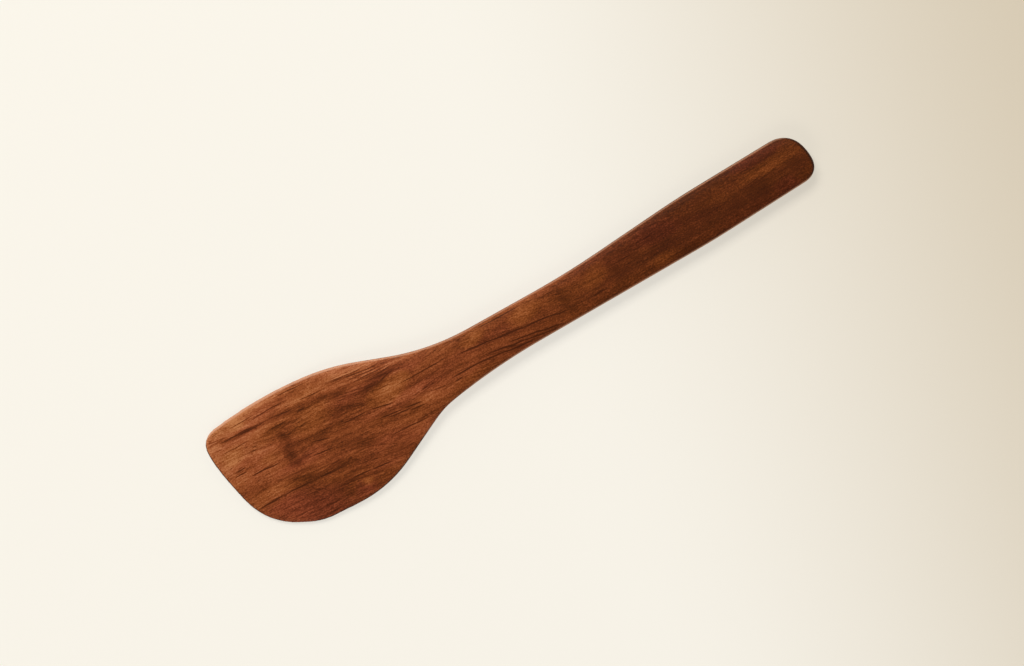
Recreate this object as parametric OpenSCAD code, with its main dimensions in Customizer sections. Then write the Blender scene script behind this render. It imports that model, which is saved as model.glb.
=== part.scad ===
// A wooden cooking spatula, carved whole from one board.
// It lies on its flat back, with the handle along +X and the carved front face up.
// Every size is in millimetres. Places along it are measured from the front edge of
// the blade, and places across it from the centre line of the narrow handle.

/* [Whole spatula] */
// Length from the front edge of the blade to the end of the handle
total_l = 300; // [270:1:340]
// Thickness of the handle along its middle
handle_t = 8; // [6:0.5:11]
// Thickness at the front edge of the blade
tip_t = 2.8; // [2:0.1:4]

/* [Blade] */
// Length of the blade, from its front edge to the corner under the neck
blade_l = 103; // [90:1:115]
// Reach of the blade above the centre line, before its upper side is rounded
blade_up = 31.5; // [26:0.5:38]
// Reach of the blade below the centre line, before its lower side is rounded
blade_down = 33.6; // [27:0.2:40]
// How far the front edge leans back from its upper end to its lower end
front_lean = 6.7; // [3:0.1:10]
// How much lower the front face lies at the sides of the blade than along its middle
blade_crown = 1.1; // [0.4:0.1:1.6]

/* [Handle] */
// Width of the handle where it is narrowest
neck_w = 20; // [16:0.5:24]
// Distance from the front edge to where the upper side starts to widen
flare_at = 179; // [160:1:195]
// Reach of the handle's end above the centre line
grip_up = 15.6; // [12:0.1:18]
// Reach of the handle's end below the centre line
grip_down = 7.6; // [6:0.1:11]
// How far the end of the handle leans back on its upper side
end_lean = 2.8; // [1:0.1:6]
// How much lower the front face lies at the sides of the handle than along its middle
handle_crown = 0.5; // [0.2:0.1:1]

/* [Corners seen from the front] */
// Radius of the blade's upper front corner
front_corner_r = 8.5; // [5:0.5:11]
// Radius of the long sweep from the front edge into the lower side
sweep_r = 31; // [18:1:38]
// Radius of the bulge in the front edge
front_bulge_r = 80; // [40:5:140]
// Radius of the bulge in the blade's upper side
top_bulge_r = 190; // [100:5:220]
// Radius where the upper side turns down toward the shoulder
top_turn_r = 100; // [60:5:130]
// Radius of the shoulder from the blade's upper side into the handle
shoulder_r = 110; // [60:5:130]
// Radius of the toe where the sweep meets the blade's lower side
toe_r = 28; // [8:1:32]
// Radius of the belly at the deepest part of the blade
belly_r = 60; // [30:1:75]
// Radius of the corner under the neck
neck_corner_r = 36; // [20:1:44]
// Radius of the long curve from the neck into the handle's lower side
underside_r = 300; // [150:10:320]
// Radius of the slight bends in the handle's sides
bend_r = 400; // [150:10:500]
// Radius of the handle's upper end corner
end_top_r = 11.5; // [7:0.5:13]
// Radius of the bulge in the handle's end
end_bulge_r = 20; // [8:1:30]
// Radius of the handle's lower end corner
end_low_r = 7.5; // [5:0.5:9]

/* [Edges] */
// Rounding of the front edges along the blade
blade_edge_r = 1.5; // [0.8:0.1:2]
// Rounding of the front edges along the handle
handle_edge_r = 2.2; // [1.5:0.1:3.6]
// Rounding of the edges of the flat back
back_edge_r = 1.2; // [0.6:0.1:1.8]

/* [Hidden] */

// Corners of the blade's upper side, as shares of its length and of its upper reach
front_top_share = 0.88;
top_bulge_shares = [0.31, 1];
top_turn_shares = [0.65, 0.867];
// Corners of the blade's lower side, as shares of its length and of its lower reach
neck_corner_share = 0.43;
belly_shares = [0.614, 1];
toe_shares = [0.284, 0.945];
front_low_share = 0.595;
// Bulge of the front edge, as shares of its lean and of the blade's upper reach
front_bulge_shares = [0.045, 0.378];
// Where each side of the blade has run into the handle, as shares of the blade's length,
// and how high the shoulder still lies there, as a share of the handle's half width
shoulder_shares = [1.067, 1.1];
underside_share = 1.3;
// Bends of the flared handle, as shares of the flare, and the widening at the upper one
upper_bend_shares = [0.5, 0.77];
lower_bend_share = 0.54;
// Bulge of the handle's end, as a share of its upper reach
end_bulge_share = 0.16;

half_w = neck_w / 2;
flare_l = total_l - flare_at;
upper_bend = half_w + (grip_up - half_w) * upper_bend_shares.y;

// The corners of the outline: each one's place along, place across and radius
front_top = [0, blade_up * front_top_share, front_corner_r];
upper_corners = [
    [blade_l * top_bulge_shares.x, blade_up * top_bulge_shares.y, top_bulge_r],
    [blade_l * top_turn_shares.x, blade_up * top_turn_shares.y, top_turn_r],
    [blade_l * shoulder_shares.x, half_w * shoulder_shares.y, shoulder_r],
    [flare_at, half_w, bend_r],
    [flare_at + flare_l * upper_bend_shares.x, upper_bend, bend_r],
];
end_top = [total_l - end_lean, grip_up, end_top_r];
end_bulge = [total_l, grip_up * end_bulge_share, end_bulge_r];
end_low = [total_l, -grip_down, end_low_r];
lower_corners = [
    [flare_at + flare_l * lower_bend_share, -half_w, bend_r],
    [blade_l * underside_share, -half_w, underside_r],
    [blade_l, -blade_down * neck_corner_share, neck_corner_r],
    [blade_l * belly_shares.x, -blade_down * belly_shares.y, belly_r],
    [blade_l * toe_shares.x, -blade_down * toe_shares.y, toe_r],
];
front_low = [front_lean, -blade_down * front_low_share, sweep_r];
front_bulge = [front_lean * front_bulge_shares.x, blade_up * front_bulge_shares.y, front_bulge_r];
corners = [front_top, each upper_corners, end_top, end_bulge, end_low,
           each lower_corners, front_low, front_bulge];

// The places in that list of the corners that part the outline into its four sides
END_TOP = len(upper_corners) + 1;
END_LOW = END_TOP + 2;
FRONT_LOW = END_LOW + len(lower_corners) + 1;
FRONT_TOP = 0;

// Steps along each corner's arc, along the spatula, across it, and round its edges
arc_steps = 12;
long_steps = 84;
cross_steps = 12;
edge_steps = 4;
back_steps = 3;
// How much closer together the steps lie toward both ends, from 0 for not at all
long_ease_share = 0.5;
cross_ease_share = 0.7;

// The share of the blade's length over which the crown grows to its full height
crown_start_share = 0.25;
// The most of the local thickness that a front edge and a back edge may round away
front_edge_share = 0.55;
back_edge_share = 0.35;

// The closed shape runs on below the flat back, and is then cut off there
under = tip_t / 2;

function wrap(i, n) = (i % n + n) % n;
function unit(v) = v / norm(v);
function mix(a, b, share) = a + (b - a) * share;
function clamp(value) = max(0, min(1, value));
function reversed(list) = [for (k = [len(list) - 1 : -1 : 0]) list[k]];
function without_last(list) = [for (k = [0 : len(list) - 2]) list[k]];

// The place of a corner, the angle that the outline turns through there, and how far
// along each of its two stretches the corner's arc reaches
function at(i) = let (c = corners[wrap(i, len(corners))]) [c.x, c.y];
function turn(i) =
    let (before = at(i) - at(i - 1), after = at(i + 1) - at(i))
    atan2(before.x * after.y - before.y * after.x, before * after);
function reach(i) = corners[i].z * tan(abs(turn(i)) / 2);

// A stretch that is too short for the arcs at both its corners shrinks them alike
function fit(i, j) = min(1, norm(at(i) - at(j)) / (reach(i) + reach(j)));

// The points of one corner's arc
function arc(i) =
    let (n = len(corners),
         fitted = min(fit(i, wrap(i - 1, n)), fit(i, wrap(i + 1, n))),
         back = unit(at(i - 1) - at(i)),
         start = at(i) + back * reach(i) * fitted,
         spoke = sign(turn(i)) * corners[i].z * fitted * [-back.y, back.x])
    [for (k = [0 : arc_steps])
        let (a = turn(i) * k / arc_steps)
        start - spoke
        + [spoke.x * cos(a) - spoke.y * sin(a), spoke.x * sin(a) + spoke.y * cos(a)]];
arcs = [for (i = [0 : len(corners) - 1]) each arc(i)];

// The outline from the middle of one corner's arc to the middle of another's
function middle(i) = i * (arc_steps + 1) + arc_steps / 2;
function stretch(i, j) =
    let (n = len(arcs), last = middle(j) + (j < i ? n : 0))
    [for (k = [middle(i) : last]) arcs[wrap(k, n)]];

// Points on a line at given shares of its length
function lengths(line) =
    [for (k = 0, sum = 0; k < len(line);
          sum = sum + (k + 1 < len(line) ? norm(line[k + 1] - line[k]) : 0), k = k + 1) sum];
function at_shares(line, shares) =
    let (sums = lengths(line),
         xs = [for (k = [0 : len(line) - 1]) [sums[k], line[k].x]],
         ys = [for (k = [0 : len(line) - 1]) [sums[k], line[k].y]],
         whole = sums[len(line) - 1])
    [for (share = shares) [lookup(share * whole, xs), lookup(share * whole, ys)]];
function eased(steps, ease) =
    [for (k = [0 : steps]) mix(k / steps, (1 - cos(180 * k / steps)) / 2, ease)];
long_shares = eased(long_steps, long_ease_share);
cross_shares = eased(cross_steps, cross_ease_share);

// The rim of the spatula, anticlockwise: lower side, end, upper side and front
rim = [
    each without_last(at_shares(reversed(stretch(END_LOW, FRONT_LOW)), long_shares)),
    each without_last(at_shares(reversed(stretch(END_TOP, END_LOW)), cross_shares)),
    each without_last(at_shares(reversed(stretch(FRONT_TOP, END_TOP)), long_shares)),
    each without_last(at_shares(reversed(stretch(FRONT_LOW, FRONT_TOP)), cross_shares)),
];
rim_n = len(rim);
rim_steps = [0 : rim_n - 1];

// The direction that leads straight in from a point of the rim
function inward(k) =
    let (along = unit(rim[wrap(k + 1, rim_n)] - rim[wrap(k - 1, rim_n)]))
    [-along.y, along.x];

// Where across the spatula a point of the rim lies, 0 at the lower side, 1 at the upper
function across(k) =
    k < long_steps ? 0
    : k < long_steps + cross_steps ? cross_shares[k - long_steps]
    : k < 2 * long_steps + cross_steps ? 1
    : cross_shares[rim_n - k];

// The front face is thin at the front edge, full at the handle, and lower at its sides,
// where the crown is a fourth power, flat in the middle and steep at the rim
function rise(x) =
    let (s = clamp(x / (blade_l * underside_share)))
    (s + s * s * (3 - 2 * s)) / 2;
function crown(x, share) =
    mix(blade_crown, handle_crown, rise(x)) * clamp(x / (blade_l * crown_start_share))
    * pow(2 * share - 1, 4);
function height(x, share) = mix(tip_t, handle_t, rise(x)) - crown(x, share);

// The thickness at each point of the rim, and the rounding of its two edges
rim_t = [for (k = rim_steps) height(rim[k].x, across(k))];
front_r = [for (k = rim_steps)
    min(mix(blade_edge_r, handle_edge_r, rise(rim[k].x)), rim_t[k] * front_edge_share)];
back_r = [for (k = rim_steps) min(back_edge_r, rim_t[k] * back_edge_share)];

// Rings round the spatula, each drawn in from the rim, from below the back to the front
function ring(drawn_in, z) = [for (k = rim_steps)
    let (p = rim[k] + inward(k) * drawn_in[k]) [p.x, p.y, z[k]]];
rings = [
    ring(back_r, [for (k = rim_steps) -under]),
    for (s = [1 : back_steps])
        let (a = 90 * s / back_steps)
        ring(back_r * (1 - sin(a)), back_r * (1 - cos(a))),
    for (s = [0 : edge_steps])
        let (a = 90 * s / edge_steps)
        ring(front_r * (1 - cos(a)), rim_t - front_r * (1 - sin(a))),
];
ring_n = len(rings);

// The point of a ring that bounds a face, at a step along and a step across
function rim_index(i, j) =
    j == 0 ? i
    : i == long_steps ? long_steps + j
    : j == cross_steps ? 2 * long_steps + cross_steps - i
    : rim_n - j;
function on_rim(i, j) = i == 0 || i == long_steps || j == 0 || j == cross_steps;

// A point inside a face, blended from the four sides of its ring
function inside(r, i, j) =
    let (u = long_shares[i], v = cross_shares[j],
         sides = mix(r[rim_index(i, 0)], r[rim_index(i, cross_steps)], v),
         ends = mix(r[rim_index(0, j)], r[rim_index(long_steps, j)], u),
         front = mix(r[0], r[rim_index(0, cross_steps)], v),
         end = mix(r[long_steps], r[rim_index(long_steps, cross_steps)], v))
    sides + ends - mix(front, end, u);
back_points = [for (i = [1 : long_steps - 1], j = [1 : cross_steps - 1]) inside(rings[0], i, j)];
front_points = [for (i = [1 : long_steps - 1], j = [1 : cross_steps - 1])
    let (p = inside(rings[ring_n - 1], i, j)) [p.x, p.y, height(p.x, cross_shares[j])]];
points = [for (r = rings) each r, each back_points, each front_points];

// Where a face's points start in the whole list, and the place of each of them
back_start = ring_n * rim_n;
front_start = back_start + len(back_points);
function place(ring_start, inner_start, i, j) =
    on_rim(i, j) ? ring_start + rim_index(i, j) % rim_n
    : inner_start + (i - 1) * (cross_steps - 1) + j - 1;

// Each four-sided patch is two triangles, clockwise as seen from outside
function patch(a, b, c, d) = [[a, c, b], [a, d, c]];
function face_patches(ring_start, inner_start, up) =
    [for (i = [0 : long_steps - 1], j = [0 : cross_steps - 1])
        let (a = place(ring_start, inner_start, i, j),
             b = place(ring_start, inner_start, i + 1, j),
             c = place(ring_start, inner_start, i + 1, j + 1),
             d = place(ring_start, inner_start, i, j + 1))
        each up ? patch(a, b, c, d) : patch(a, d, c, b)];
wall_patches =
    [for (r = [0 : ring_n - 2], k = rim_steps)
        let (next = (k + 1) % rim_n, low = r * rim_n, high = low + rim_n)
        each patch(low + k, low + next, high + next, high + k)];
faces = [
    each wall_patches,
    each face_patches(0, back_start, false),
    each face_patches((ring_n - 1) * rim_n, front_start, true),
];

// The origin lies on the flat back, under the middle of the outline's box
lowest = [min([for (p = rim) p.x]), min([for (p = rim) p.y])];
highest = [max([for (p = rim) p.x]), max([for (p = rim) p.y])];
box = highest - lowest;

module spatula() {
    color([0.46, 0.25, 0.14])
    translate(-(lowest + highest) / 2)
    difference() {
        polyhedron(points = points, faces = faces, convexity = 4);
        translate([lowest.x - under, lowest.y - under, -2 * under])
            cube([box.x + 2 * under, box.y + 2 * under, 2 * under]);
    }
}

spatula();
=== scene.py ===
# The look of the wooden spatula: an oiled, reddish brown board with fine dark grain,
# lying on its flat back on a pale floor. Lengths are in metres, and places in the grain
# are in millimetres from the front edge of the blade and from the handle's centre line.
import math

import bmesh
import bpy
from mathutils import Matrix, Vector


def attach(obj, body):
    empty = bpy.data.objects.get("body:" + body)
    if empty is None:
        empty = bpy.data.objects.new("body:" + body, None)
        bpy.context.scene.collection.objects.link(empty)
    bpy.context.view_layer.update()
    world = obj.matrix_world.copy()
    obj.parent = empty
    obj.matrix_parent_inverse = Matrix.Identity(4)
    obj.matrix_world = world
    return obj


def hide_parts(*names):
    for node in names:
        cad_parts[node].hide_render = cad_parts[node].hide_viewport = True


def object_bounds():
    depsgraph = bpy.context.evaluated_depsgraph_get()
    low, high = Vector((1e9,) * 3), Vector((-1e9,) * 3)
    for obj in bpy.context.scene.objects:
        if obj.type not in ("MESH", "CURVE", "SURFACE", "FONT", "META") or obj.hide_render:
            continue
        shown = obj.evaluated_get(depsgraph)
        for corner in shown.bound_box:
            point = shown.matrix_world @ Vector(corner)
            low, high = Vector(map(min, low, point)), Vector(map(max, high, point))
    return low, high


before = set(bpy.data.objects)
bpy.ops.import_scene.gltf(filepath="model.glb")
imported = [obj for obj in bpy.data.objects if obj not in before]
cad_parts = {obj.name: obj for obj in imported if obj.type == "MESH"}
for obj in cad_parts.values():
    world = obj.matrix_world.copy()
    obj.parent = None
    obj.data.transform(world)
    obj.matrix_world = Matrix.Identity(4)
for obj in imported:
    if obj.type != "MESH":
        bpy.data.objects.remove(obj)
cad_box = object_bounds()
scene = bpy.context.scene
scene.view_settings.view_transform = "Standard"

MM = 0.001

# The photograph's frame, and how large the spatula is in it
IMAGE_W = 1024
PIXELS_PER_MM = 2.235
LENS = 85
SENSOR = 36
CAMERA_TURN = math.radians(-30.1)
CAMERA_TILT = math.radians(4)
AIM_RIGHT = -4.0 * MM
AIM_UP = -1.9 * MM
AIM_HEIGHT = 1.5 * MM

# The photograph's right and up, as directions along the floor, and the way out of it
RIGHT = Vector((math.cos(CAMERA_TURN), math.sin(CAMERA_TURN), 0))
UP = Vector((-math.sin(CAMERA_TURN), math.cos(CAMERA_TURN), 0))
FRONT = Vector((0, 0, 1))


def make_camera():
    """A camera over the front face, turned so that the handle points up to the right."""
    data = bpy.data.cameras.new("camera")
    data.lens = LENS
    data.sensor_width = SENSOR
    camera = bpy.data.objects.new("camera", data)
    scene.collection.objects.link(camera)
    distance = LENS / SENSOR * IMAGE_W / PIXELS_PER_MM * MM
    back = FRONT * math.cos(CAMERA_TILT) + UP * math.sin(CAMERA_TILT)
    above = back.cross(RIGHT)
    aim = RIGHT * AIM_RIGHT + UP * AIM_UP + FRONT * AIM_HEIGHT
    turned = Matrix((RIGHT, above, back)).transposed().to_4x4()
    camera.matrix_world = Matrix.Translation(aim + back * distance) @ turned
    scene.camera = camera


make_camera()


# Colours, and the steps that a painted surface is made of

def srgb(red, green, blue):
    """A colour written as it looks on a screen, 0 to 255, as the light that it stands for."""
    def light(value):
        share = value / 255
        return share / 12.92 if share <= 0.04045 else ((share + 0.055) / 1.055) ** 2.4
    return (light(red), light(green), light(blue), 1)


# How far apart in the noise two patterns lie whose numbers differ by one, and the middle
# value of a noise
PATTERN_SHIFT = (17.3, 9.1, 5.7)
NOISE_MIDDLE = 0.5


class Paint:
    """A tree of nodes. Its steps take sockets or plain values and give back sockets."""

    def __init__(self, owner):
        owner.use_nodes = True
        self.tree = owner.node_tree
        self.tree.nodes.clear()

    def node(self, kind, inputs, **settings):
        """A new node with those settings, and its inputs fed by name or by number."""
        node = self.tree.nodes.new(kind)
        for name, value in settings.items():
            setattr(node, name, value)
        for name, value in inputs.items():
            if isinstance(value, bpy.types.NodeSocket):
                self.tree.links.new(value, node.inputs[name])
            else:
                node.inputs[name].default_value = value
        return node

    def coordinates(self, kind):
        return self.node("ShaderNodeTexCoord", {}).outputs[kind]

    def math(self, operation, *values):
        return self.node("ShaderNodeMath", dict(enumerate(values)), operation=operation).outputs[0]

    def add(self, first, second):
        return self.math("ADD", first, second)

    def take(self, first, second):
        return self.math("SUBTRACT", first, second)

    def times(self, first, second):
        return self.math("MULTIPLY", first, second)

    def most(self, first, second):
        return self.math("MAXIMUM", first, second)

    def size(self, value):
        """The value without its sign."""
        return self.math("ABSOLUTE", value)

    def vector_math(self, operation, *values):
        """Arithmetic with places or directions, which gives back all of the node's sockets."""
        return self.node("ShaderNodeVectorMath", dict(enumerate(values)), operation=operation).outputs

    def step(self, value, start, end, low=0, high=1):
        """Goes smoothly from low at the start to high at the end, which may be the lower place."""
        return self.node("ShaderNodeMapRange",
                         {"Value": value, "From Min": start, "From Max": end,
                          "To Min": low, "To Max": high},
                         interpolation_type="SMOOTHSTEP").outputs[0]

    def split(self, point):
        return self.node("ShaderNodeSeparateXYZ", {0: point}).outputs

    def join(self, x, y, z):
        return self.node("ShaderNodeCombineXYZ", {0: x, 1: y, 2: z}).outputs[0]

    def noise(self, point, sizes, pattern, finer):
        """Soft noise around 0, mostly within 0.5, with clumps of those sizes in millimetres."""
        scale = [1 / size for size in sizes]
        shift = [pattern * step for step in PATTERN_SHIFT]
        stretched = self.node("ShaderNodeMapping",
                              {"Vector": point, "Scale": scale, "Location": shift})
        cloud = self.node("ShaderNodeTexNoise",
                          {"Vector": stretched.outputs[0], "Scale": 1, "Detail": finer})
        return self.times(self.take(cloud.outputs[0], NOISE_MIDDLE), 2)

    def curve(self, value, points):
        """Follows a curve drawn through points with both values from 0 to 1."""
        node = self.node("ShaderNodeFloatCurve", {"Value": value})
        drawn = node.mapping.curves[0].points
        for place, height in points[1:-1]:
            drawn.new(place, height)
        drawn[0].location = points[0]
        drawn[-1].location = points[-1]
        node.mapping.update()
        return node.outputs[0]

    def ramp(self, value, stops, between="LINEAR"):
        """A colour for each value from 0 to 1, between those stops."""
        node = self.node("ShaderNodeValToRGB", {"Fac": value})
        node.color_ramp.interpolation = between
        elements = node.color_ramp.elements
        while len(elements) < len(stops):
            elements.new(1)
        for element, (place, colour) in zip(elements, stops):
            element.position = place
            element.color = colour
        return node.outputs[0]

    def blend(self, share, first, second):
        """From the first colour to the second, which go into sockets 6 and 7 of a Mix node."""
        return self.node("ShaderNodeMix", {0: share, 6: first, 7: second},
                         data_type="RGBA").outputs[2]

    def surface(self, kind, shader):
        """Ends the tree, so that the shader covers what the tree belongs to."""
        self.node(kind, {"Surface": shader})


# Light. Each soft box is: its direction as shares of the photograph's right, up and out of
# it, its distance, width, height, share of a white floor's light, and colour.

SOFT_BOXES = {
    "key": ((-0.5, 0.8, 1.15), 2.8, 1.6, 1.1, 0.58, srgb(255, 250, 244)),
    "fill": ((-0.25, -0.9, 0.8), 2.6, 1.8, 1.0, 0.14, srgb(255, 246, 236)),
}

# The walls' colour and the ceiling's, and how far up each one ends or starts, where the
# horizon is 0 and straight up is 1
WALLS = (0.25, srgb(240, 234, 222))
CEILING = (0.75, srgb(62, 60, 56))


def soft_box(name, shares, distance, width, height, white_share, colour):
    """A soft box aimed at the spatula, which gives that share of a white floor's light."""
    right, up, front = shares
    towards = (RIGHT * right + UP * up + FRONT * front).normalized()
    data = bpy.data.lights.new(name, "AREA")
    data.shape = "RECTANGLE"
    data.size = width
    data.size_y = height
    data.color = colour[:3]
    data.energy = white_share * (math.pi * distance) ** 2 / towards.z
    lamp = bpy.data.objects.new(name, data)
    scene.collection.objects.link(lamp)
    lamp.matrix_world = (Matrix.Translation(towards * distance)
                         @ towards.to_track_quat("Z", "Y").to_matrix().to_4x4())


def make_lamps():
    """A broad key light from the upper left and a weak one from below."""
    for name, settings in SOFT_BOXES.items():
        soft_box(name, *settings)


def make_world():
    """Pale walls all round and a dimmer ceiling."""
    world = bpy.data.worlds.new("studio")
    paint = Paint(world)
    height = paint.split(paint.coordinates("Generated"))["Z"]
    room = paint.ramp(height, [WALLS, CEILING], "EASE")
    paint.surface("ShaderNodeOutputWorld",
                  paint.node("ShaderNodeBackground", {"Color": room}).outputs[0])
    scene.world = world


# The floor. Its colour is painted dimmer toward the photograph's right, and a little toward its top,
# as painted shade. Part of what the camera sees of it is glow, less near the spatula, where it takes
# the shadow.

FLOOR_SIZE = 30
FLOOR_DROP = 0.2 * MM
FLOOR_BRIGHT = srgb(251, 248, 239)
FLOOR_DIM = srgb(217, 205, 183)
DIMMING_TOWARDS_TOP = 0.35
DIMMING_WAY = RIGHT + UP * DIMMING_TOWARDS_TOP
DIMMING_RANGE = (0.0, 0.32)
GLOW_RANGE = (0.25, 1.1)
GLOW_NEAR = 0.66
GLOW_FAR = 0.93


def floor_glow(paint, place):
    """The share of the floor that glows, for what the camera sees directly or by reflection."""
    ray = paint.node("ShaderNodeLightPath", {}).outputs
    seen = paint.most(ray["Is Camera Ray"], ray["Is Glossy Ray"])
    seen = paint.most(seen, ray["Is Transmission Ray"])
    from_middle = paint.vector_math("LENGTH", place)["Value"]
    return paint.times(seen, paint.step(from_middle, *GLOW_RANGE, GLOW_NEAR, GLOW_FAR))


def floor_cream():
    """Cream that glows a little, so that it stays pale and still takes a soft shadow."""
    material = bpy.data.materials.new("floor_cream")
    paint = Paint(material)
    place = paint.coordinates("Object")
    across = paint.vector_math("DOT_PRODUCT", place, DIMMING_WAY)["Value"]
    # Painted shade: the cream dims along the floor toward the right and a little toward the top
    cream = paint.blend(paint.step(across, *DIMMING_RANGE), FLOOR_BRIGHT, FLOOR_DIM)
    matte = paint.node("ShaderNodeBsdfDiffuse", {"Color": cream}).outputs[0]
    glow = paint.node("ShaderNodeEmission", {"Color": cream}).outputs[0]
    mixed = paint.node("ShaderNodeMixShader", {0: floor_glow(paint, place), 1: matte, 2: glow})
    paint.surface("ShaderNodeOutputMaterial", mixed.outputs[0])
    return material


def make_floor():
    """A wide plain floor just under the flat back."""
    bm = bmesh.new()
    bmesh.ops.create_grid(bm, x_segments=1, y_segments=1, size=FLOOR_SIZE / 2)
    bmesh.ops.translate(bm, verts=bm.verts, vec=(0, 0, -FLOOR_DROP))
    mesh = bpy.data.meshes.new("floor")
    bm.to_mesh(mesh)
    bm.free()
    floor = bpy.data.objects.new("floor", mesh)
    scene.collection.objects.link(floor)
    mesh.materials.append(floor_cream())


make_lamps()
make_world()
make_floor()


# The carved board

WELD = 0.001 * MM
# Two triangles become one face where the fold between them, and how far its corners are
# off the square, stay under these
FLATTEST_FOLD = math.radians(40)
SQUAREST_FACE = math.radians(60)
ROUNDING_LEVELS = 2
SKIN_GRID = 0.65 * MM
SANDING_ROUNDS = 4
SANDING_SHARE = 0.5
FLAT_BACK = 0.04 * MM


def carved_board():
    """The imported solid's own shape, rounded between its facets, in an even skin of small faces."""
    bm = bmesh.new()
    bm.from_mesh(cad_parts["spatula"].data)
    bmesh.ops.remove_doubles(bm, verts=bm.verts, dist=WELD)
    bmesh.ops.join_triangles(bm, faces=bm.faces, angle_face_threshold=FLATTEST_FOLD,
                             angle_shape_threshold=SQUAREST_FACE)
    mesh = bpy.data.meshes.new("facets")
    bm.to_mesh(mesh)
    bm.free()
    board = bpy.data.objects.new("spatula_wood", mesh)
    scene.collection.objects.link(board)
    rounding = board.modifiers.new("rounding", "SUBSURF")
    rounding.levels = ROUNDING_LEVELS
    rounding.render_levels = ROUNDING_LEVELS
    skin = board.modifiers.new("skin", "REMESH")
    skin.mode = "VOXEL"
    skin.voxel_size = SKIN_GRID
    graph = bpy.context.evaluated_depsgraph_get()
    skinned = bpy.data.meshes.new_from_object(board.evaluated_get(graph))
    board.modifiers.clear()
    board.data = skinned
    bpy.data.meshes.remove(mesh)
    skinned.name = "spatula_wood"
    return board


def sand(board):
    """Sands the skin smooth, leaves its back flat, and keeps its length and width."""
    bm = bmesh.new()
    bm.from_mesh(board.data)
    for _ in range(SANDING_ROUNDS):
        bmesh.ops.smooth_vert(bm, verts=bm.verts, factor=SANDING_SHARE,
                              use_axis_x=True, use_axis_y=True, use_axis_z=True)
    for vert in bm.verts:
        if vert.co.z < FLAT_BACK:
            vert.co.z = 0
    for axis in range(2):
        reach = max(abs(vert.co[axis]) for vert in bm.verts)
        for vert in bm.verts:
            vert.co[axis] *= cad_box[1][axis] / reach
    for face in bm.faces:
        face.smooth = True
    bm.to_mesh(board.data)
    bm.free()


# Where the sides of the board are, so that the painted light and painted highlights can follow them

SLICE = 1.5 * MM


def side_places(verts):
    """The lowest and highest place across in each slice along the board."""
    low = {}
    high = {}
    for vert in verts:
        key = round(vert.co.x / SLICE)
        low[key] = min(low.get(key, vert.co.y), vert.co.y)
        high[key] = max(high.get(key, vert.co.y), vert.co.y)
    return low, high


def between(places, x):
    """The place at x, drawn straight between the slices on both sides of it."""
    spot = x / SLICE
    before = math.floor(spot)
    start = places.get(before, places.get(before + 1))
    end = places.get(before + 1, start)
    return start + (end - start) * (spot - before)


def mark_sides(board):
    """Stores how many millimetres each point lies from the upper and from the lower side."""
    bm = bmesh.new()
    bm.from_mesh(board.data)
    sides = bm.verts.layers.float_vector.new("sides")
    low, high = side_places(bm.verts)
    for vert in bm.verts:
        from_upper = between(high, vert.co.x) - vert.co.y
        from_lower = vert.co.y - between(low, vert.co.x)
        vert[sides] = (from_upper / MM, from_lower / MM, 0)
    bm.to_mesh(board.data)
    bm.free()


# The grain of the wood. Places are in millimetres from the blade's front edge and from the
# handle's centre line.

LENGTH = 300
BLADE_L = 103
CENTRE_LINE = 1.3 * MM

# The wood's soft noises: the sizes of the clumps in millimetres along, across and through
# the board, the number of the pattern, and how many finer noises are laid over it
NOISES = {
    "wave": ((45, 16, 16), 1, 1),
    "ripple": ((14, 5, 5), 2, 1),
    "fibre": ((15, 0.62, 0.62), 3, 2),
    "streak": ((32, 3.2, 3.2), 4, 3),
    "band": ((110, 12, 12), 5, 1),
    "cross": ((8, 22, 22), 6, 2),
    "speck": ((0.7, 0.5, 0.5), 7, 0),
    "shift along": ((8, 6, 6), 8, 1),
    "shift across": ((12, 4, 4), 9, 1),
    "ragged": ((6, 0.6, 0.6), 10, 2),
    "pore": ((4.5, 0.28, 0.28), 11, 0),
    "pore group": ((26, 7, 7), 12, 1),
    "long thread": ((60, 4.5, 4.5), 13, 1),
    "thread group": ((24, 6, 6), 14, 1),
    "hue": ((40, 10, 10), 15, 2),
    "fleck": ((3.2, 0.42, 0.42), 16, 1),
    "patchy": ((9, 1.1, 1.1), 17, 2),
    "short thread": ((75, 3.2, 3.2), 18, 1),
}

# How many millimetres the grain drops across the board in all, how that drop is shared out
# along it, and how many millimetres it waves to each side on its way
FLOW_DROP = 16
FLOW = [(0, 0), (0.17, 0.16), (0.30, 0.44), (0.40, 0.50), (0.57, 0.94), (0.67, 0.97), (1, 1)]
WAVE = 2.4
RIPPLE = 0.7

# How far drawn marks are shifted at random along and across, and how high above the back
# they start and are full
SHIFT_ALONG = 2.0
SHIFT_ACROSS = 0.7
FRONT_HEIGHT = (0.3, 2.0)

# Along the board: how light the wood is, which is darker toward the handle's end partly as painted
# shade, and how strongly its streaks show
LIGHTNESS = [(0, 0.71), (0.07, 0.65), (0.13, 0.52), (0.24, 0.58), (0.32, 0.63), (0.42, 0.55),
             (0.52, 0.48), (0.66, 0.37), (0.74, 0.33), (0.82, 0.29), (0.90, 0.31), (1, 0.31)]
FIGURE = [(0, 1), (0.3, 1), (0.38, 0.6), (0.62, 0.5), (0.7, 0.4), (1, 0.4)]

# How much each layer adds to the lightness where it is 1, how much a dark vein takes off,
# and what share of the lightness each kind of mark takes away
ADDS = {"streak": 0.3, "band": 0.22, "fibre": 0.12, "fleck": 0.2, "cross": 0.08, "speck": 0.23,
        "orange": 0.28, "pale": 0.2}
VEIN_DEPTH = 0.13
TAKES = {"shade": 0.5, "line": 0.58, "pore": 0.43, "thread": 0.35}
# How much of the fine grain shows everywhere, and how much more where the streaks do
FINE_SHARE = 0.55
FINE_FIGURE_SHARE = 0.45

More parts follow.
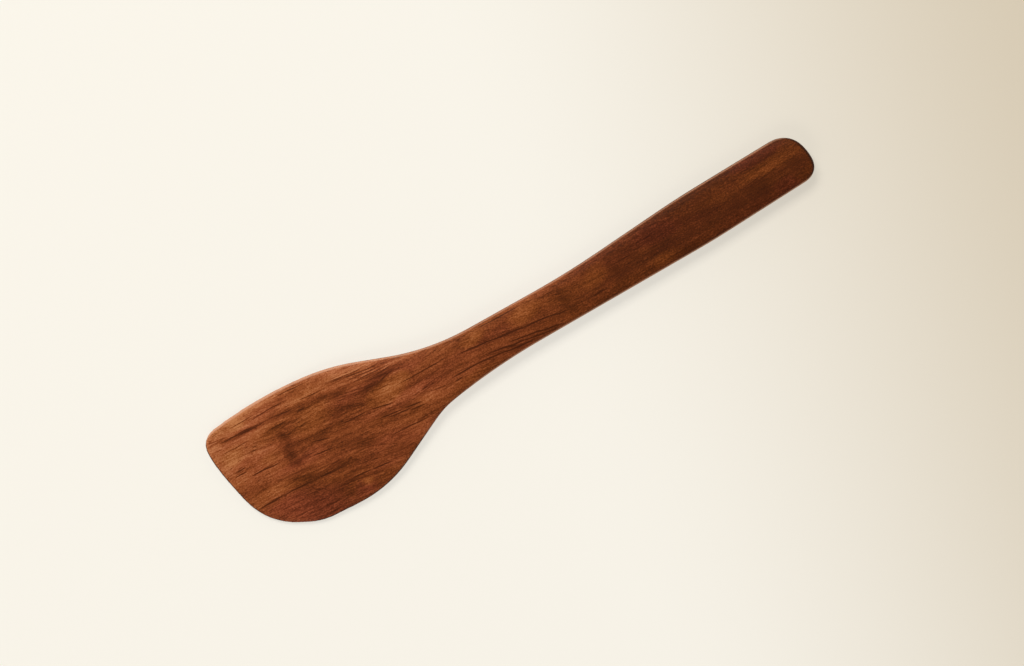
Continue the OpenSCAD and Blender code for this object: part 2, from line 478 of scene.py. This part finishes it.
# Where a pattern starts and where it is full, in the noise or mark that it is cut from
VEIN_IN_FIBRE = (-0.02, -0.5)
VEIN_IN_STREAK = (0.35, -0.25)
LINE_CUT = (0.03, 0.45)
PORE_CUT = (0.26, 0.55)
PORE_GROUP_CUT = (-0.25, 0.3)
LONG_THREAD_CUT = (0.03, 0.0)
SHORT_THREAD_CUT = (0.04, 0.0)
THREAD_GROUP_CUT = (-0.1, 0.3)
# Ragged noise breaks up lines and threads: how strong a line is where that noise is 0, how
# much the noise changes it, and how much stronger a thread is
RAGGED_BASE = 0.9
RAGGED_SHARE = 0.5
THREAD_MORE = 0.1
# How strong a dark patch is where the patchy noise is 0, and a pale streak where the wood's
# own streaks are 0
SHADE_BASE = 0.8
PALE_BASE = 0.8

# Painted light: the wood is painted paler toward its upper side: by how much, over which shares of
# the way across from that side, and over which stretch of the handle that ends. It is less so on the
# neck: by how much, and over which stretches that comes and goes.
UPPER_LIGHT = 0.1
UPPER_LIGHT_ACROSS = (0.35, 0.02)
UPPER_LIGHT_ALONG = (205, 165)
UPPER_LIGHT_NECK_LOSS = 0.06
UPPER_LIGHT_NECK_START = (60, 90)
UPPER_LIGHT_NECK_END = (160, 140)
# A painted sheen makes the blade paler once more just inside its upper rim: by how much, how many
# millimetres from that side, and over which stretch near the neck that ends
RIM_SHEEN = 0.1
RIM_SHEEN_IN = (3.8, 1.6)
RIM_SHEEN_ALONG = (BLADE_L, BLADE_L - 35)

# The drawn marks. Each one is: start along, start across, end along, end across, reach to
# each side of it, strength.

# Soft dark patches
SHADES = [
    (6, 21.0, 31, 20.2, 2.2, 1.3),
    (26, 20.5, 50, 18.5, 2.2, 0.7),
    (48, 18.5, 66, 16, 2.0, 0.7),
    (45, 21, 49, 15, 2.6, 0.6),
    (58, 15.8, 72, 13.6, 3.0, 1.0),
    (73, 12.6, 96, 12.2, 2.6, 1.1),
    (73, 10.2, 88, 9.8, 2.0, 0.9),
    (26, 15.6, 39, 14.8, 1.8, 1.0),
    (32.5, 14, 34.5, 7, 2.8, 1.0),
    (34, 8, 32.5, 4, 2.8, 0.8),
    (31.5, 4, 33, -1, 3.8, 1.3),
    (29, -2, 36, -4, 2.6, 1.2),
    (35, -2, 41, -3, 1.8, 0.7),
    (36, 1, 44, 3, 2.0, 0.4),
    (24, -8, 42, -13, 6.0, 0.6),
    (25, -8.5, 40, -9, 2.0, 0.5),
    (44, -11, 58, -15.5, 4.5, 0.6),
    (46, -12, 55, -12.5, 1.8, 0.6),
    (58, -10, 72, -13, 4.0, 0.5),
    (68, -19.5, 92, -22.5, 5.0, 0.8),
    (18, -20, 72, -20, 5.0, 0.35),
    (52, -26, 72, -27, 6.0, 0.3),
    (44, -21, 48, -27, 4.0, 0.4),
    (68, -4, 86, -6, 3.0, 0.6),
    (84, -5, 97, -7.5, 3.2, 1.0),
    (44, -1, 64, -2, 9.0, 0.5),
    (64, 9, 68, 8, 3.0, 0.5),
    (120, 8, 130, 8, 2.5, 0.6),
    (126, -6, 166, -9, 3.5, 0.6),
    (172, 8, 174, -8, 5.0, 0.7),
    (199, 12, 200, -9, 5.0, 0.6),
    (200, 8, 212, 4, 4.0, 0.5),
    (216, -0.5, 230, -0.5, 4.0, 0.6),
    (226, -6, 236, -8, 4.0, 0.5),
    (256, -1, 266, -3, 4.5, 0.6),
    (267, 1, 279, -3, 6.0, 1.0),
    (276, 11, 288, 11, 4.0, 0.6),
    (288, 3, 298, 1, 4.0, 0.7),
]
# Fine dark lines
LINES = [
    (12, 21.8, 29, 20.9, 0.4, 0.5),
    (28, 20.6, 50, 18.6, 0.4, 0.5),
    (20, 24, 46, 24, 0.4, 0.7),
    (26, 16, 41, 16, 0.4, 0.7),
    (43, 17, 49, 17, 0.5, 0.7),
    (5, 7, 13, 7, 0.4, 0.8),
    (5, 5, 12, 5, 0.4, 0.8),
    (8, 2.3, 31, 0.9, 0.4, 0.9),
    (2, 17, 21, 16.5, 0.4, 0.6),
    (37, -3.4, 54, -5.6, 0.45, 0.7),
    (43, 1.8, 52, -0.5, 0.5, 0.7),
    (59, 2, 73, 1.4, 0.45, 0.8),
    (71, 1.6, 88, -1.1, 0.45, 0.9),
    (6, -12.7, 21, -12.3, 0.45, 1.0),
    (18, -12.2, 38, -13.8, 0.45, 0.9),
    (34, -13.4, 57, -15.2, 0.45, 0.6),
    (45, -11.5, 53, -11.5, 0.45, 0.5),
    (47, -14, 53, -14.4, 0.4, 0.5),
    (50, -21.2, 61, -22.1, 0.45, 0.9),
    (59, -22, 71, -23.6, 0.45, 0.9),
    (74, -13, 98, -15.1, 0.45, 0.9),
    (76, 13.5, 99, 14.2, 0.4, 0.6),
    (70, 15.8, 97, 14.8, 0.35, 0.6),
    (66, 18, 96, 15.4, 0.35, 0.6),
    (60, 20.6, 94, 16.2, 0.35, 0.5),
    (56, 22.8, 90, 17.6, 0.35, 0.45),
    (44, 21.6, 62, 19.6, 0.35, 0.6),
    (34, 27.6, 58, 26.6, 0.35, 0.6),
    (10, 25.4, 30, 25.6, 0.35, 0.6),
    (78, 9, 96, 12.8, 0.45, 0.5),
    (84, 5, 122, 4.4, 0.4, 0.8),
    (118, 3.4, 140, 1.0, 0.45, 1.1),
    (132, 1.8, 156, -1.2, 0.48, 1.2),
    (148, -0.2, 172, -3.7, 0.45, 1.2),
    (164, -2.9, 173, -4, 0.45, 0.8),
    (74, -4.4, 88, -5.8, 0.45, 1.0),
    (79, -6, 91, -7.2, 0.45, 1.0),
    (86, -5.2, 97, -7.4, 0.45, 1.0),
    (88, -7.6, 98, -8.8, 0.4, 0.9),
    (4, 21.8, 20, 21.5, 0.4, 0.5),
    (8, 20.5, 36, 20.2, 0.4, 0.5),
    (109, -4.5, 130, -4.9, 0.42, 1.1),
    (122, -4.5, 142, -6.3, 0.48, 1.2),
    (134, -5.4, 156, -8.8, 0.45, 1.2),
    (130, -2.9, 154, -7.0, 0.5, 1.2),
    (147, -6.0, 166, -9.2, 0.5, 1.2),
    (142, -3.3, 160, -6.2, 0.5, 1.2),
    (152, -5.0, 169, -8.4, 0.5, 1.2),
    (111, -6.6, 119, -6.6, 0.4, 0.8),
    (98, -4.5, 113, -6.5, 0.4, 0.6),
    (128, 9, 161, 8, 0.35, 0.7),
    (183, -4.3, 193, -4.3, 0.5, 0.9),
    (195, 3, 211, 3, 0.4, 0.6),
]
# Pale streaks. The first two, along the blade's upper rim, are partly painted sheen.
PALE = [
    (56, 22.5, 98, 14.5, 5.0, 1.3),
    (6, 28.5, 62, 27.5, 2.0, 0.6),
    (94, 6, 120, 8, 6.0, 0.7),
    (2, 20, 8, 27, 5.0, 0.5),
    (36, 22, 58, 21.5, 2.5, 0.4),
    (64, 12.8, 92, 14.8, 1.2, 0.5),
    (136, 9.5, 184, 9.5, 2.6, 0.4),
    (3, -3, 20, -2, 5.0, 0.35),
]
# Redder wood
RED = [
    (12, -17, 45, -30, 12.0, 0.8),
    (50, -28, 60, -28, 5.0, 0.8),
    (212, 7, 235, 6, 6.0, 0.8),
    (262, 12.5, 292, 12.5, 3.0, 1.0),
    (280, -4, 290, -7, 5.0, 0.8),
]
# More orange wood, which is a little lighter too
ORANGE = [
    (75, 4, 95, 7, 6.0, 1.2),
    (90, 7, 96, 7, 4.0, 0.9),
    (38, 9, 60, 12, 7.0, 0.6),
    (18, 5, 30, 5, 4.0, 0.3),
    (5, 12, 14, 15, 5.0, 0.5),
    (15, 26, 20, 26, 3.5, 0.7),
    (54, -26, 59, -26, 3.0, 0.9),
    (123, 5, 135, 7, 4.0, 0.7),
    (146, 3, 162, 6, 5.0, 0.8),
    (185, 0, 195, 5, 6.0, 0.5),
    (214, -5, 230, -7, 3.5, 0.4),
    (246, 7, 266, 5, 5.0, 0.25),
    (260, 6, 297, 7, 3.5, 0.6),
]

# The wood's colours from darkest to palest, where it is golden and where it is russet
GOLDEN = [(0, srgb(50, 20, 4)), (0.3, srgb(85, 40, 10)), (0.5, srgb(119, 60, 22)),
          (0.7, srgb(152, 84, 41)), (1, srgb(190, 124, 78))]
RUSSET = [(0, srgb(48, 16, 4)), (0.3, srgb(85, 36, 14)), (0.5, srgb(119, 55, 30)),
          (0.7, srgb(153, 77, 47)), (1, srgb(192, 116, 82))]
# How russet the wood is where the noise of its hue is 0, and how much that noise changes it
RUSSET_SHARE = 0.4
HUE_SHARE = 0.6

# The painted highlight along the rims. On the upper side it has a depth in millimetres and a strength
# on the blade, and loses some of both on the handle, over one stretch of the board. On the lower side
# only the handle has it. Each rim shows only where the surface faces up enough.
RIM_HIGHLIGHT = srgb(208, 156, 126)
RIM_HIGHLIGHT_DEPTH = 0.95
RIM_HIGHLIGHT_DEPTH_LOSS = 0.4
RIM_HIGHLIGHT_STRENGTH = 0.85
RIM_HIGHLIGHT_STRENGTH_LOSS = 0.35
RIM_HIGHLIGHT_CHANGE_ALONG = (BLADE_L - 50, BLADE_L + 50)
RIM_HIGHLIGHT_EDGE = (0.4, -0.3)
RIM_HIGHLIGHT_FACING_UP = (0.0, 0.35)
RIM_HIGHLIGHT_IN_FIBRE = (-0.8, 0.0)
LOW_RIM_EDGE = (0.95, 0.35)
LOW_RIM_ALONG = (BLADE_L, BLADE_L + 25)
LOW_RIM_FACING_UP = (0.0, 0.25)
LOW_RIM_STRENGTH = 0.6

# Painted shade on the front edge, the handle's end and the blade's lower side, by how far the surface
# faces along and across the board
EDGE_SHADE = srgb(50, 23, 10)
EDGE_SHADE_STRENGTH = 0.8
HANDLE_END_FACING = (0.3, 0.6)
FRONT_EDGE_FACING = (-0.5, -0.8)
LOW_SIDE_FACING = (-0.6, -0.9)
LOW_SIDE_ALONG = (BLADE_L, BLADE_L - 20)

# The oiled finish, and the relief of the open grain
ROUGHNESS = 0.58
FIBRE_ROUGHNESS = 0.06
PORE_ROUGHNESS = 0.15
GLOSS = 0.08
RELIEF = 0.06 * MM
RELIEF_STRENGTH = 0.6
FIBRE_RELIEF = 0.25
LINE_RELIEF = 0.4


class Wood(Paint):
    """The wood's tree of nodes, and what its patterns read at each point, in millimetres."""

    def __init__(self, material):
        super().__init__(material)
        start = (-cad_box[0][0] / MM, -CENTRE_LINE / MM, 0)
        moved = self.node("ShaderNodeMapping", {"Vector": self.coordinates("Object"),
                                                "Scale": (1 / MM,) * 3, "Location": start})
        self.place = moved.outputs[0]
        self.x, self.y, self.z = self.split(self.place)
        self.along = self.times(self.x, 1 / LENGTH)
        self.grain = self.straightened()
        self.drawn = self.shifted()
        self.front = self.step(self.z, *FRONT_HEIGHT)
        sides = self.node("ShaderNodeAttribute", {}, attribute_name="sides").outputs["Vector"]
        self.from_upper, self.from_lower, _ = self.split(sides)
        self.facing = self.split(self.coordinates("Normal"))
        self.figure = self.curve(self.along, FIGURE)
        self.fibre = self.cloud(self.grain, "fibre")
        self.streak = self.cloud(self.grain, "streak")
        ragged = self.cloud(self.grain, "ragged")
        self.ragged = self.add(self.times(ragged, RAGGED_SHARE), RAGGED_BASE)

    def cloud(self, point, name):
        """One of the wood's soft noises."""
        return self.noise(point, *NOISES[name])

    def straightened(self):
        """The place with the grain's bends taken out, so that noises run along the grain."""
        flow = self.times(self.curve(self.along, FLOW), FLOW_DROP)
        wave = self.times(self.cloud(self.place, "wave"), WAVE)
        ripple = self.times(self.cloud(self.place, "ripple"), RIPPLE)
        across = self.add(self.add(self.y, flow), self.add(wave, ripple))
        return self.join(self.x, across, self.z)

    def shifted(self):
        """The place moved a little at random, so that drawn marks aren't ruled straight."""
        along = self.times(self.cloud(self.place, "shift along"), SHIFT_ALONG)
        across = self.times(self.cloud(self.place, "shift across"), SHIFT_ACROSS)
        return self.vector_math("ADD", self.place, self.join(along, across, 0))["Vector"]


def marks(wood, rows):
    """How far into a drawn mark a place lies, from 0 at its edge to its strength in the middle."""
    cover = 0
    for start_x, start_y, end_x, end_y, reach, strength in rows:
        middle = ((start_x + end_x) / 2, (start_y + end_y) / 2, 0)
        turned = math.atan2(end_y - start_y, end_x - start_x)
        length = math.hypot(end_x - start_x, end_y - start_y) + reach
        shape = wood.node("ShaderNodeMapping",
                          {"Vector": wood.drawn, "Location": middle, "Rotation": (0, 0, turned),
                           "Scale": (length / 2, reach, LENGTH)}, vector_type="TEXTURE")
        ball = wood.node("ShaderNodeTexGradient", {"Vector": shape.outputs[0]},
                         gradient_type="SPHERICAL")
        cover = wood.most(cover, wood.times(ball.outputs["Fac"], strength))
    return cover


def plain_lightness(wood):
    """How light the wood is before marks: its run along the board, streaks, fibres and specks."""
    layers = {
        "streak": wood.streak,
        "band": wood.cloud(wood.grain, "band"),
        "fibre": wood.fibre,
        "fleck": wood.cloud(wood.grain, "fleck"),
        "cross": wood.cloud(wood.place, "cross"),
        "speck": wood.cloud(wood.place, "speck"),
    }
    parts = {name: wood.times(layer, ADDS[name]) for name, layer in layers.items()}
    vein = wood.times(wood.step(wood.fibre, *VEIN_IN_FIBRE),
                      wood.step(wood.streak, *VEIN_IN_STREAK))
    broad = wood.times(wood.add(parts["streak"], parts["band"]), wood.figure)
    fine = wood.take(wood.add(parts["fibre"], parts["fleck"]), wood.times(vein, VEIN_DEPTH))
    fine_share = wood.add(FINE_SHARE, wood.times(wood.figure, FINE_FIGURE_SHARE))
    light = wood.add(wood.curve(wood.along, LIGHTNESS), broad)
    light = wood.add(light, wood.times(fine, fine_share))
    return wood.add(light, wood.add(parts["cross"], parts["speck"]))


def painted_upper_light(wood):
    """Painted light: how much lighter the wood is painted toward its upper side, with a painted sheen
    inside the blade's upper rim.
    """
    across = wood.math("DIVIDE", wood.from_upper, wood.add(wood.from_upper, wood.from_lower))
    side = wood.times(wood.step(across, *UPPER_LIGHT_ACROSS), wood.step(wood.x, *UPPER_LIGHT_ALONG))
    neck = wood.times(wood.step(wood.x, *UPPER_LIGHT_NECK_START),
                      wood.step(wood.x, *UPPER_LIGHT_NECK_END))
    side = wood.times(side, wood.take(UPPER_LIGHT, wood.times(neck, UPPER_LIGHT_NECK_LOSS)))
    rim = wood.times(wood.step(wood.from_upper, *RIM_SHEEN_IN),
                     wood.step(wood.x, *RIM_SHEEN_ALONG))
    return wood.add(side, wood.times(rim, RIM_SHEEN))


def dark_patches(wood):
    """Soft dark patches with an uneven edge."""
    patchy = wood.add(wood.cloud(wood.grain, "patchy"), SHADE_BASE)
    return wood.times(wood.times(marks(wood, SHADES), wood.front), patchy)


def dark_lines(wood):
    """Fine dark lines that fray and break."""
    line = wood.times(wood.times(marks(wood, LINES), wood.ragged), wood.front)
    return wood.step(line, *LINE_CUT)


def open_pores(wood):
    """Short fine pores along the grain, in loose groups."""
    pore = wood.step(wood.cloud(wood.grain, "pore"), *PORE_CUT)
    group = wood.step(wood.cloud(wood.grain, "pore group"), *PORE_GROUP_CUT)
    return wood.times(pore, group)


def threads(wood):
    """Thin dark threads along the grain, where two noises cross zero."""
    long = wood.step(wood.size(wood.cloud(wood.grain, "long thread")), *LONG_THREAD_CUT)
    short = wood.step(wood.size(wood.cloud(wood.grain, "short thread")), *SHORT_THREAD_CUT)
    group = wood.step(wood.cloud(wood.grain, "thread group"), *THREAD_GROUP_CUT)
    thread = wood.times(wood.most(long, short), group)
    return wood.times(thread, wood.add(wood.ragged, THREAD_MORE))


def pale_streaks(wood):
    """Pale streaks, stronger where the wood's own streaks are."""
    pale = wood.times(marks(wood, PALE), wood.front)
    return wood.times(pale, wood.add(wood.streak, PALE_BASE))


def painted_rim_highlights(wood):
    """How strongly the rims carry the painted highlight: the upper one all along, the lower one on
    the handle.
    """
    handle = wood.step(wood.x, *RIM_HIGHLIGHT_CHANGE_ALONG)
    depth = wood.take(RIM_HIGHLIGHT_DEPTH, wood.times(handle, RIM_HIGHLIGHT_DEPTH_LOSS))
    upper = wood.step(wood.take(wood.from_upper, depth), *RIM_HIGHLIGHT_EDGE)
    upper = wood.times(upper, wood.step(wood.facing[2], *RIM_HIGHLIGHT_FACING_UP))
    upper = wood.times(upper, wood.step(wood.fibre, *RIM_HIGHLIGHT_IN_FIBRE))
    upper = wood.times(upper, wood.take(RIM_HIGHLIGHT_STRENGTH, wood.times(handle, RIM_HIGHLIGHT_STRENGTH_LOSS)))
    lower = wood.times(wood.step(wood.from_lower, *LOW_RIM_EDGE),
                       wood.step(wood.x, *LOW_RIM_ALONG))
    lower = wood.times(lower, wood.step(wood.facing[2], *LOW_RIM_FACING_UP))
    return wood.most(upper, wood.times(lower, LOW_RIM_STRENGTH))


def painted_edge_shade(wood):
    """How far painted shade darkens the front edge, the handle's end and the blade's lower side."""
    ends = wood.most(wood.step(wood.facing[0], *HANDLE_END_FACING),
                     wood.step(wood.facing[0], *FRONT_EDGE_FACING))
    low_side = wood.times(wood.step(wood.facing[1], *LOW_SIDE_FACING),
                          wood.step(wood.x, *LOW_SIDE_ALONG))
    return wood.times(wood.most(ends, low_side), EDGE_SHADE_STRENGTH)


def wood_colour(wood, light, red, orange):
    """Golden to russet wood for that lightness, with painted highlights on its rims and painted shade
    on its ends and the blade's lower side.
    """
    hue = wood.times(wood.cloud(wood.place, "hue"), HUE_SHARE)
    hue = wood.add(wood.add(RUSSET_SHARE, hue), wood.take(red, orange))
    colour = wood.blend(wood.step(hue, 0, 1), wood.ramp(light, GOLDEN), wood.ramp(light, RUSSET))
    # Painted highlight along the rims
    colour = wood.blend(painted_rim_highlights(wood), colour, RIM_HIGHLIGHT)
    # Painted shade on the ends and the blade's lower side
    return wood.blend(painted_edge_shade(wood), colour, EDGE_SHADE)


def oiled_finish(wood, colour, line, pore):
    """A soft oiled sheen over the open grain."""
    fibres = wood.times(wood.fibre, FIBRE_RELIEF)
    height = wood.take(fibres, wood.add(pore, wood.times(line, LINE_RELIEF)))
    bump = wood.node("ShaderNodeBump",
                     {"Height": height, "Distance": RELIEF, "Strength": RELIEF_STRENGTH})
    rough = wood.add(wood.times(wood.fibre, FIBRE_ROUGHNESS), wood.times(pore, PORE_ROUGHNESS))
    shader = wood.node("ShaderNodeBsdfPrincipled",
                       {"Base Color": colour, "Roughness": wood.add(ROUGHNESS, rough),
                        "Specular IOR Level": GLOSS, "Normal": bump.outputs[0]})
    return shader.outputs[0]


def oiled_wood():
    """Oiled reddish brown hardwood: bands, streaks, fibres and pores along one bending grain."""
    material = bpy.data.materials.new("oiled_wood")
    wood = Wood(material)
    orange = wood.times(marks(wood, ORANGE), wood.front)
    red = wood.times(marks(wood, RED), wood.front)
    line = dark_lines(wood)
    pore = open_pores(wood)
    darker = {"shade": dark_patches(wood), "line": line, "pore": pore, "thread": threads(wood)}
    # Painted light toward the upper side, with a painted sheen inside the blade's upper rim
    light = wood.add(plain_lightness(wood), painted_upper_light(wood))
    light = wood.add(light, wood.times(orange, ADDS["orange"]))
    light = wood.add(light, wood.times(pale_streaks(wood), ADDS["pale"]))
    for name, cover in darker.items():
        light = wood.times(light, wood.take(1, wood.times(cover, TAKES[name])))
    colour = wood_colour(wood, light, red, orange)
    finish = oiled_finish(wood, colour, line, pore)
    wood.surface("ShaderNodeOutputMaterial", finish)
    return material


board = carved_board()
sand(board)
mark_sides(board)
board.data.materials.clear()
board.data.materials.append(oiled_wood())
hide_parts("spatula")
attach(board, "root")
